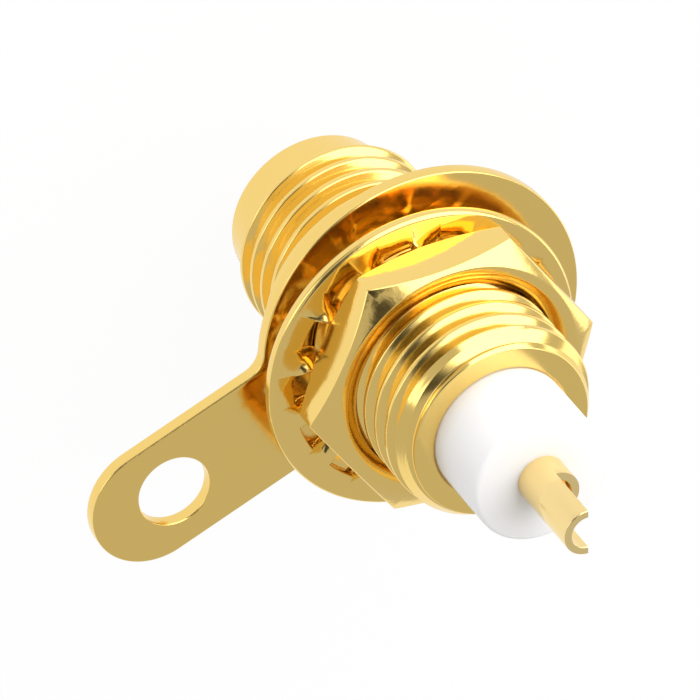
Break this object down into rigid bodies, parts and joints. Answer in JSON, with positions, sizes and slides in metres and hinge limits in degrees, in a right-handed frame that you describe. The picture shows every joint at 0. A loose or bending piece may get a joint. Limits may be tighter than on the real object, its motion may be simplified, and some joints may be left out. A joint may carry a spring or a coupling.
{
  "type": "coaxial connector",
  "caption": "Threaded bulkhead coaxial jack with a centre contact in a dielectric rod, an open solder cup, and a loose solder lug, toothed lock washer and hex nut on its rear thread.",
  "frame": {"origin": "centre of the nose face, at the mouth of the mating socket", "axes": "+Z along the connector's axis from the nose to the solder cup, +X along the tab of the solder lug"},
  "size_m": [0.0166, 0.0102, 0.0185],
  "materials": {
    "gold_plate": "polished gold plating over brass",
    "contact_gold": "satin gold plating over a copper alloy",
    "lug_gold": "gold plating over stamped brass sheet",
    "white_plastic": "turned fluoropolymer, silky"
  },
  "bodies": {
    "connector": {"connector_body": "gold_plate", "dielectric": "white_plastic", "centre_contact": "contact_gold"},
    "lug": {"solder_lug": "lug_gold"},
    "washer": {"lock_washer": "gold_plate"},
    "nut": {"hex_nut": "gold_plate"}
  },
  "joints": [
    {"name": "lug_swing", "type": "hinge", "parent": "connector", "child": "lug", "pos_m": [0, 0, 0.0068], "axis": [0, 0, 1], "continuous": true},
    {"name": "washer_slide", "type": "slide", "parent": "connector", "child": "washer", "axis": [0, 0, 1], "range_m": [-0.00066, 0.00208]},
    {"name": "nut_turn", "type": "hinge", "parent": "washer", "child": "nut", "pos_m": [0, 0, 0.0093], "axis": [0, 0, 1], "range_deg": [-340, 1065]}
  ],
  "couplings": [
    {"joint": "nut_turn", "follows": "washer_slide", "rad_per_m": 8905.3}
  ]
}
